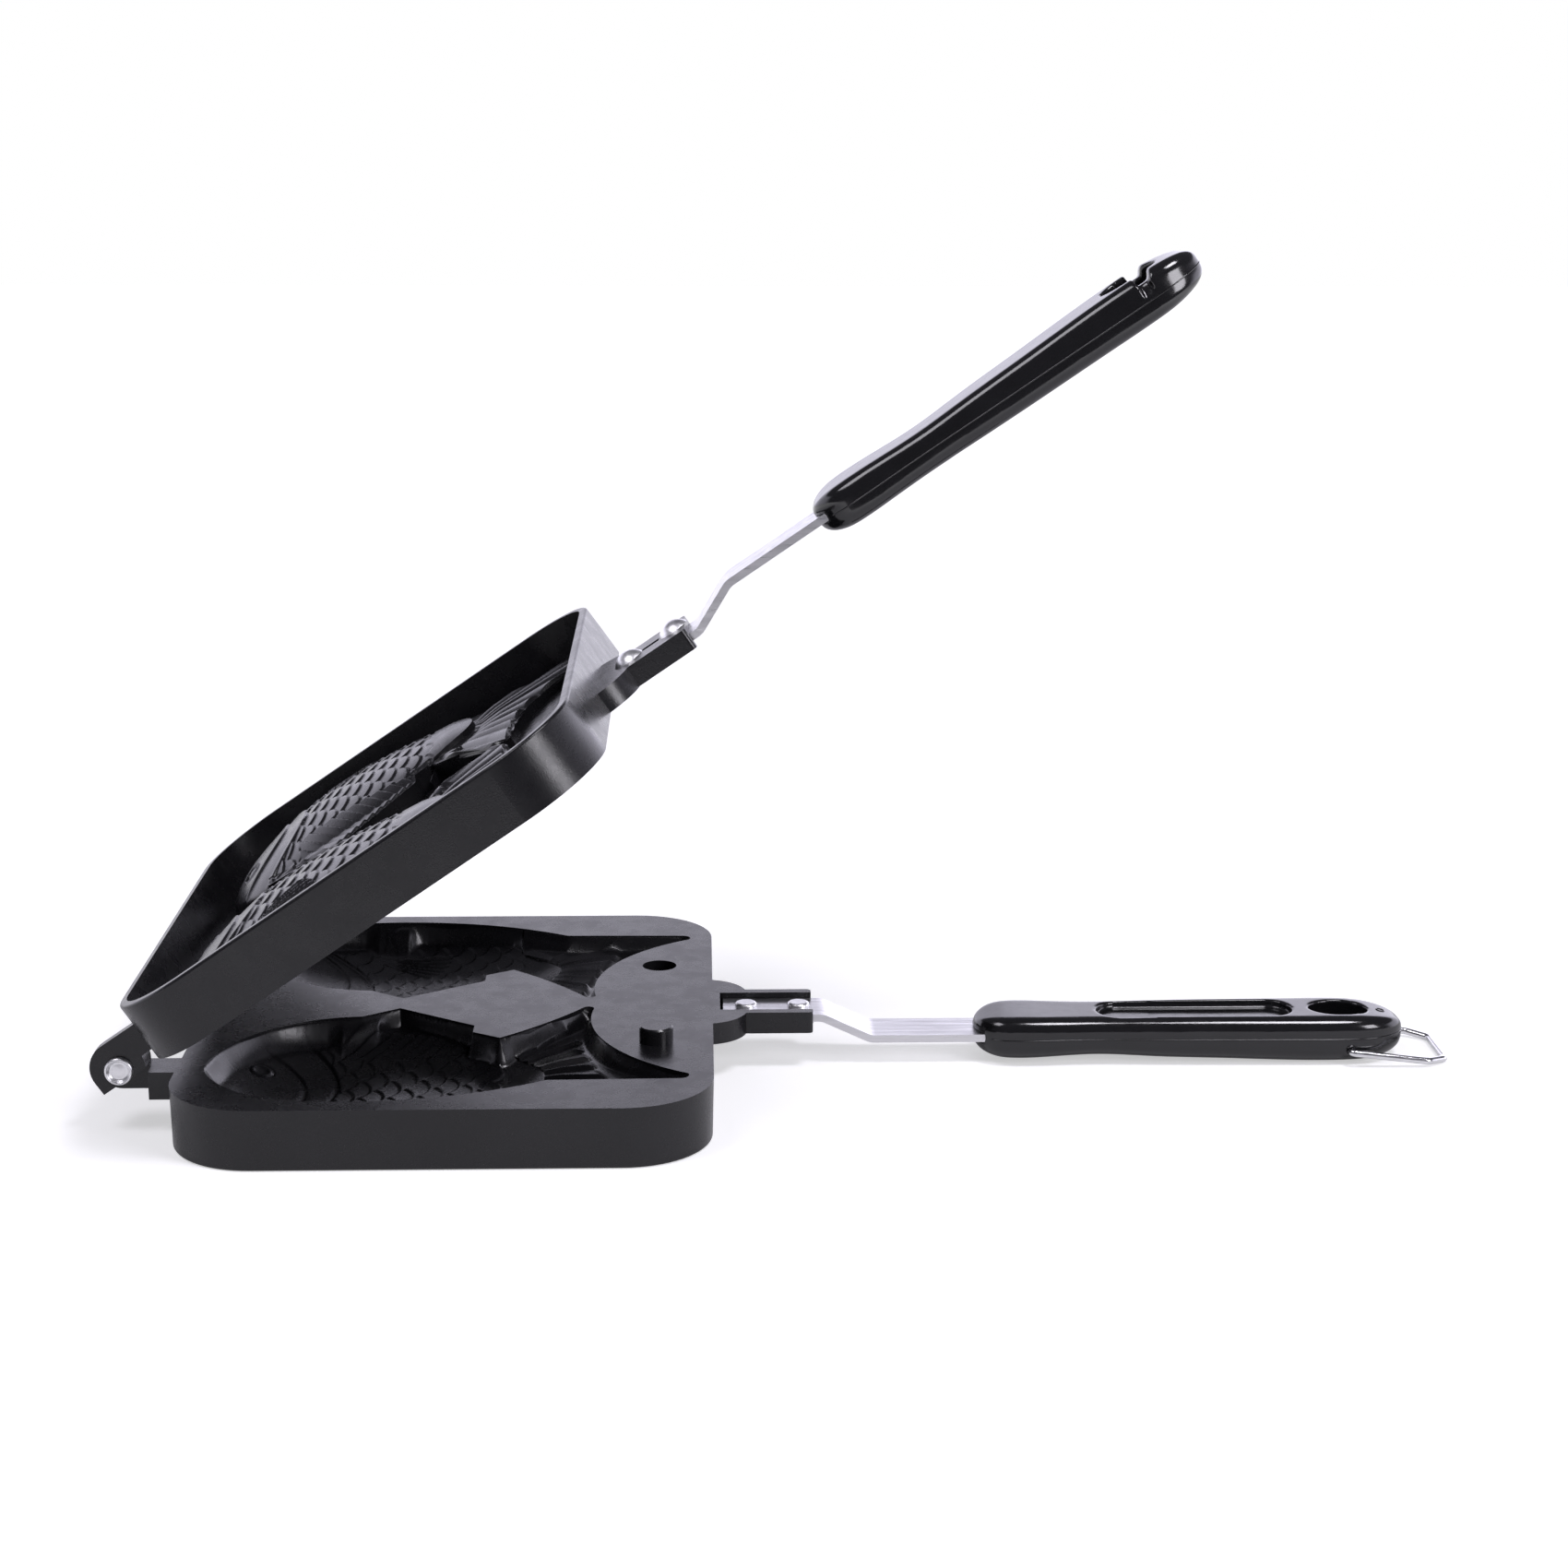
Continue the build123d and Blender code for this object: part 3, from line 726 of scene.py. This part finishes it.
def cavity_tail():
    """The tail's hollow: each ray slopes down to a step, which fades before the wall."""
    gx, gy, away, radius, share, angle = tail_grid(CAVITY_REACH, 0.0)
    fade = smooth_step((np.interp(angle, *RAY_ENDS) - radius) / RAY_END_FADE)
    growth = smooth_step((radius - RAY_START) / RAY_GROWTH)
    step = RAY_DEPTH * (1 - share ** RAY_CURVE) * growth
    lip = RAY_LIP * bell(share - RAY_LIP_AT, RAY_LIP_WIDTH)
    faces = cavity_faces(gx, gy, away, (step + lip) * fade, TAIL_EDGE_FADE)
    return gx, gy, *faces, np.ones(gx.shape, bool)


def back_faces(gx, gy, away, relief, fade):
    """Top and bottom of a back's sheet, which sinks into the bulge at its edge."""
    height = depth_of(gx, gy, SHELL)
    fall = smooth_step(np.clip(SHELL - away, 0, None) / fade)
    top = np.minimum(-height + BACK_THICKNESS, BACK_TOP_LIMIT)
    bottom = -height - SKIN * fall + BACK_SUNK * (1 - fall) - relief * fall
    return top, np.minimum(bottom, BACK_LOW_LIMIT)


def back_sheet():
    """The patterned back of a bulge: it stands just proud of the plain bulge."""
    gx, gy, away = sheet_grid(SHELL)
    faces = back_faces(gx, gy, away, softened(fish_relief, gx, gy), BACK_FADE)
    return gx, gy, *faces, away < BACK_REACH


def back_tail():
    """The tail's back: rounded rays with narrow valleys between them."""
    gx, gy, away, radius, share, _ = tail_grid(BACK_REACH, BACK_TAIL_START)
    rise = smooth_step((radius - BACK_RAY_START) / BACK_RAY_GROWTH)
    relief = VALLEY + RAY_HEIGHT * (1 - np.abs(2 * share - 1) ** RAY_ROUNDNESS) * rise
    faces = back_faces(gx, gy, away, relief, BACK_TAIL_FADE)
    return gx, gy, *faces, np.ones(gx.shape, bool)


SHEETS = {
    "cavity": cavity_sheet, "cavity_tail": cavity_tail, "back": back_sheet,
    "back_tail": back_tail,
}


def fish_sheets():
    for kind, make in SHEETS.items():
        verts, faces = closed_sheet(*make())
        faces = faces.tolist()
        for half in ("lower", "upper"):
            for side, far in (("near", False), ("far", True)):
                placed, turned = place(verts, faces, half, far)
                name = f"{half}_{side}_fish_{kind}"
                obj = piece(name, placed, turned, f"{half}_half", COATING)
                obj.data.set_sharp_from_angle(angle=math.radians(50))


fish_sheets()


# grips: rounded edges, the line where the two mould halves met, and a small ring mark

GRIP_NOSE = 207.0
GRIP_HEEL = 291.5
GRIP_VOXEL = 0.00036
GRIP_PASSES = 12
PARTING_Z = -8.0
PARTING_REACH = 40.0
PARTING_TURN = 4.0
PARTING_STEP = 3.0
BAR_ANGLE = 128.0
BEAD = 0.2
BEAD_SIDES = 6
RING_MARK = (302.6, 0.0, 1.05)
RING_STEPS = 20


def round_edges(node):
    """Rounds every edge of a node by a fine even mesh and a smoothing."""
    remesh = node.modifiers.new("even_mesh", "REMESH")
    remesh.mode = "VOXEL"
    remesh.voxel_size = GRIP_VOXEL
    remesh.use_smooth_shade = True
    smooth = node.modifiers.new("rounding", "SMOOTH")
    smooth.factor = 0.5
    smooth.iterations = GRIP_PASSES


def first_hits(node, half, rays):
    """Where rays in the closed frame first meet a node, and the way out from there."""
    tree = BVHTree.FromObject(node, bpy.context.evaluated_depsgraph_get())
    into = node.matrix_world.inverted() @ PLACES[half]
    back = into.inverted()
    hits = []
    for origin, direction in rays:
        start = into @ Vector(origin)
        along = (into.to_3x3() @ Vector(direction)).normalized()
        hit = tree.ray_cast(start, along)[0]
        if hit is not None:
            hits.append((back @ hit, -Vector(direction).normalized()))
    return hits


def bead_on(half, name, rays, closed):
    """A fine raised line on a half's grip, along the places where the rays meet it."""
    hits = first_hits(nodes[f"{half}_grip"], half, rays)
    count = len(hits)
    verts, faces = [], []
    for i, (point, out) in enumerate(hits):
        before, after = i - 1, (i + 1) % count
        if not closed:
            before, after = max(i - 1, 0), min(i + 1, count - 1)
        across = (hits[after][0] - hits[before][0]).cross(out).normalized()
        for k in range(BEAD_SIDES):
            turn = 2 * math.pi * k / BEAD_SIDES
            verts.append(point + BEAD * (math.cos(turn) * out + math.sin(turn) * across))
    for i in range(count if closed else count - 1):
        here, there = i * BEAD_SIDES, (i + 1) % count * BEAD_SIDES
        for k in range(BEAD_SIDES):
            m = (k + 1) % BEAD_SIDES
            faces.append((here + k, here + m, there + m, there + k))
    if not closed:
        faces.append(tuple(range(BEAD_SIDES))[::-1])
        faces.append(tuple((count - 1) * BEAD_SIDES + k for k in range(BEAD_SIDES)))
    placed, turned = place(np.array([tuple(v) for v in verts]), faces, half, False)
    piece(name, placed, turned, f"{half}_half", RESIN)


def rays_round(x, start, stop):
    """Rays inward on an arc about a point of the grip's middle line."""
    rays = []
    for angle in np.radians(np.arange(start, stop, -PARTING_TURN)):
        c, s = math.cos(angle), math.sin(angle)
        origin = (x + PARTING_REACH * c, PARTING_REACH * s, PARTING_Z)
        rays.append((origin, (-c, -s, 0)))
    return rays


def parting_rays():
    """Rays inward at the parting height, round the grip from one side of the bar to the other."""
    rays = rays_round(GRIP_NOSE, BAR_ANGLE, 90.0)
    for x in np.arange(GRIP_NOSE, GRIP_HEEL, PARTING_STEP):
        rays.append(((x, PARTING_REACH, PARTING_Z), (0, -1, 0)))
    rays += rays_round(GRIP_HEEL, 90.0, 0.0)
    mirrored = [((x, -y, z), (u, -v, w)) for (x, y, z), (u, v, w) in rays]
    return rays + mirrored[::-1]


def ring_rays():
    """Rays down onto the ring mark from well above the grip."""
    x0, y0, radius = RING_MARK
    rays = []
    for turn in np.linspace(0, 2 * math.pi, RING_STEPS, endpoint=False):
        origin = (x0 + radius * math.cos(turn), y0 + radius * math.sin(turn), 20.0)
        rays.append((origin, (0, 0, -1)))
    return rays


for half in ("lower", "upper"):
    round_edges(nodes[f"{half}_grip"])
    bead_on(half, f"{half}_grip_parting_line", parting_rays(), False)
bead_on("lower", "lower_grip_ring_mark", ring_rays(), True)


# hinge rivets: a rolled ring round a shallow dished face

RIVET_FACE = (
    (0.0, 0.62), (0.9, 0.58), (1.6, 0.46), (2.05, 0.36), (2.3, 0.42), (2.5, 0.75),
    (2.68, 1.1), (2.88, 1.27), (3.06, 1.3), (3.24, 1.22), (3.37, 1.0), (3.4, 0.7),
    (3.4, 0.0), (2.0, 0.0))
RIVET_TAIL = ((2.0, 0.0), (3.1, 0.0), (3.1, 0.7), (2.8, 1.05), (2.4, 1.1), (0.0, 1.1))
RIVET_HEAD_HEIGHT = 1.3
RIVET_TAIL_HEIGHT = 1.1
TURN_STEPS = 48
WELD = 1e-6


def turned_rivet(name, node_name, side):
    """A rivet turned about the hinge line, its dished face outward on one side."""
    low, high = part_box(node_name)
    outer, inner = (low, high) if side < 0 else (high, low)
    face_y = outer[1] / MM - side * RIVET_HEAD_HEIGHT
    tail_y = inner[1] / MM + side * RIVET_TAIL_HEIGHT
    profile = [(r, face_y + side * h) for r, h in RIVET_FACE]
    profile += [(r, tail_y - side * h) for r, h in RIVET_TAIL]
    centre = PLACES["lower"] @ Vector((HINGE[0], 0, HINGE[1]))
    verts, faces = [], []
    for r, y in profile:
        for k in range(TURN_STEPS):
            turn = 2 * math.pi * k / TURN_STEPS
            across, up = MM * r * math.cos(turn), MM * r * math.sin(turn)
            verts.append((centre.x + across, MM * y, centre.z + up))
    for i in range(len(profile) - 1):
        for k in range(TURN_STEPS):
            m = (k + 1) % TURN_STEPS
            a, b = i * TURN_STEPS + k, i * TURN_STEPS + m
            faces.append((a, b, b + TURN_STEPS, a + TURN_STEPS))
    obj = piece(name, verts, faces, "lower_half", RIVET)
    work = bmesh.new()
    work.from_mesh(obj.data)
    bmesh.ops.remove_doubles(work, verts=work.verts, dist=WELD)
    bmesh.ops.recalc_face_normals(work, faces=work.faces)
    work.to_mesh(obj.data)
    work.free()
    obj.data.set_sharp_from_angle(angle=math.radians(60))
    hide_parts(node_name)


turned_rivet("hinge_rivet_near_turned", "hinge_rivet_near", -1)
turned_rivet("hinge_rivet_far_turned", "hinge_rivet_far", 1)


# camera: fitted to the photograph

CAMERA_AT = (-0.023631, -0.68036, 0.24169)
CAMERA_YAW = 0.0315
CAMERA_PITCH = 0.2433
CAMERA_ROLL = 0.0034
LENS = 63.56


def make_camera():
    cy, sy = math.cos(CAMERA_YAW), math.sin(CAMERA_YAW)
    cp, sp = math.cos(CAMERA_PITCH), math.sin(CAMERA_PITCH)
    forward = Vector((sy * cp, cy * cp, -sp))
    right = Vector((cy, -sy, 0))
    up = right.cross(forward)
    c, s = math.cos(CAMERA_ROLL), math.sin(CAMERA_ROLL)
    right, up = c * right + s * up, c * up - s * right
    data = bpy.data.cameras.new("camera")
    data.lens = LENS
    data.sensor_width = 36.0
    data.clip_start = 0.01
    camera = bpy.data.objects.new("camera", data)
    rotation = Matrix((right, up, -forward)).transposed().to_4x4()
    camera.matrix_world = Matrix.Translation(CAMERA_AT) @ rotation
    bpy.context.scene.collection.objects.link(camera)
    bpy.context.scene.camera = camera


make_camera()


# studio

FLOOR_FRONT = -0.5
FLOOR_BACK = 3.0
FLOOR_SIDE = 2.5
FLOOR_Z = -0.0001
FLOOR_COLOUR = (0.72, 0.72, 0.73)
# the floor's glow by distance from the object, as the camera and as glossy faces see it
FLOOR_GLOW = {"From Min": 0.3, "From Max": 1.5, "To Min": 0.5, "To Max": 1.0}
FLOOR_REFLECTED = {"From Min": 0.26, "From Max": 0.6, "To Min": 0.12, "To Max": 0.9}


def white_floor():
    """A plain pale floor that glows more the further it is from the object."""
    material = bpy.data.materials.new("white_floor")
    material.use_nodes = True
    graph = Graph(material.node_tree)
    far = graph.add("ShaderNodeVectorMath")
    far.operation = "LENGTH"
    graph.link(graph.add("ShaderNodeTexCoord").outputs["Object"], far, 0)
    glossy = graph.add("ShaderNodeLightPath").outputs["Is Glossy Ray"]
    glows = []
    for seen, limits in ((graph.seen_directly(), FLOOR_GLOW), (glossy, FLOOR_REFLECTED)):
        grows = graph.rescale(far.outputs["Value"], **limits)
        glows.append(graph.maths("MULTIPLY", seen, grows))
    glow = graph.add("ShaderNodeEmission")
    graph.link(graph.maths("MAXIMUM", *glows), glow, "Strength")
    plain = graph.add("ShaderNodeBsdfDiffuse", Color=(*FLOOR_COLOUR, 1))
    both = graph.add("ShaderNodeAddShader")
    graph.link(plain.outputs[0], both, 0)
    graph.link(glow.outputs[0], both, 1)
    graph.link(both.outputs[0], graph.add("ShaderNodeOutputMaterial"), "Surface")
    return material


def make_floor():
    xs = np.linspace(-FLOOR_SIDE, FLOOR_SIDE, 21)
    ys = np.linspace(FLOOR_FRONT, FLOOR_BACK, 15)
    verts = [(x, y, FLOOR_Z) for x in xs for y in ys]
    n = len(ys)
    faces = [
        (i * n + j, (i + 1) * n + j, (i + 1) * n + j + 1, i * n + j + 1)
        for i in range(len(xs) - 1) for j in range(n - 1)]
    mesh = bpy.data.meshes.new("floor")
    mesh.from_pydata(verts, [], faces)
    mesh.materials.append(white_floor())
    floor = bpy.data.objects.new("floor", mesh)
    bpy.context.scene.collection.objects.link(floor)


make_floor()

ROOM_COLOUR = (0.115, 0.112, 0.132)
SWEEP_COLOUR = (1.32, 1.29, 1.5)


def make_world():
    """A white sweep low behind the object, and a darker room above and behind the camera."""
    world = bpy.data.worlds.new("studio")
    bpy.context.scene.world = world
    world.use_nodes = True
    graph = Graph(world.node_tree)
    split = graph.add("ShaderNodeSeparateXYZ")
    graph.link(graph.add("ShaderNodeTexCoord").outputs["Generated"], split, 0)
    # white towards +Y and low down, brighter on the right
    back = graph.rescale(split.outputs["Y"], "SMOOTHSTEP", From_Min=-0.32, From_Max=0.12)
    low = graph.rescale(
        split.outputs["Z"], "SMOOTHSTEP", From_Min=0.345, From_Max=0.45, To_Min=1.0, To_Max=0.0)
    right = graph.rescale(
        split.outputs["X"], From_Min=0.04, From_Max=0.2, To_Min=1.0, To_Max=1.5)
    sweep = graph.maths("MULTIPLY", graph.maths("MULTIPLY", back, low), right)
    studio = graph.add("ShaderNodeBackground")
    graph.link(graph.mix(sweep, ROOM_COLOUR, SWEEP_COLOUR, clamp=False), studio, "Color")
    white = graph.add("ShaderNodeBackground", Color=(1, 1, 1, 1))
    mix = graph.add("ShaderNodeMixShader")
    graph.link(graph.seen_directly(), mix, 0)
    graph.link(studio.outputs[0], mix, 1)
    graph.link(white.outputs[0], mix, 2)
    graph.link(mix.outputs[0], graph.add("ShaderNodeOutputWorld"), "Surface")


make_world()

LAMP_COLOUR = (0.955, 0.935, 1.0)


def softbox(name, at, toward, size, power):
    """An area lamp with its centre at a point, facing another."""
    data = bpy.data.lights.new(name, "AREA")
    data.shape = "RECTANGLE"
    data.size, data.size_y = size
    data.energy = power
    data.color = LAMP_COLOUR
    lamp = bpy.data.objects.new(name, data)
    lamp.location = at
    direction = Vector(toward) - Vector(at)
    lamp.rotation_mode = "QUATERNION"
    lamp.rotation_quaternion = direction.to_track_quat("-Z", "Y")
    bpy.context.scene.collection.objects.link(lamp)


softbox("softbox_right", (0.98, -0.78, 0.55), (0, 0, 0.08), (0.42, 0.5), 6.5)
softbox("softbox_left", (-0.66, -0.28, 1.2), (-0.02, 0, 0.08), (0.5, 0.5), 5.0)
softbox("softbox_top", (0.42, -0.33, 1.25), (0.0, 0.0, 0.05), (0.32, 0.32), 7.0)

bpy.context.scene.view_settings.view_transform = "Standard"
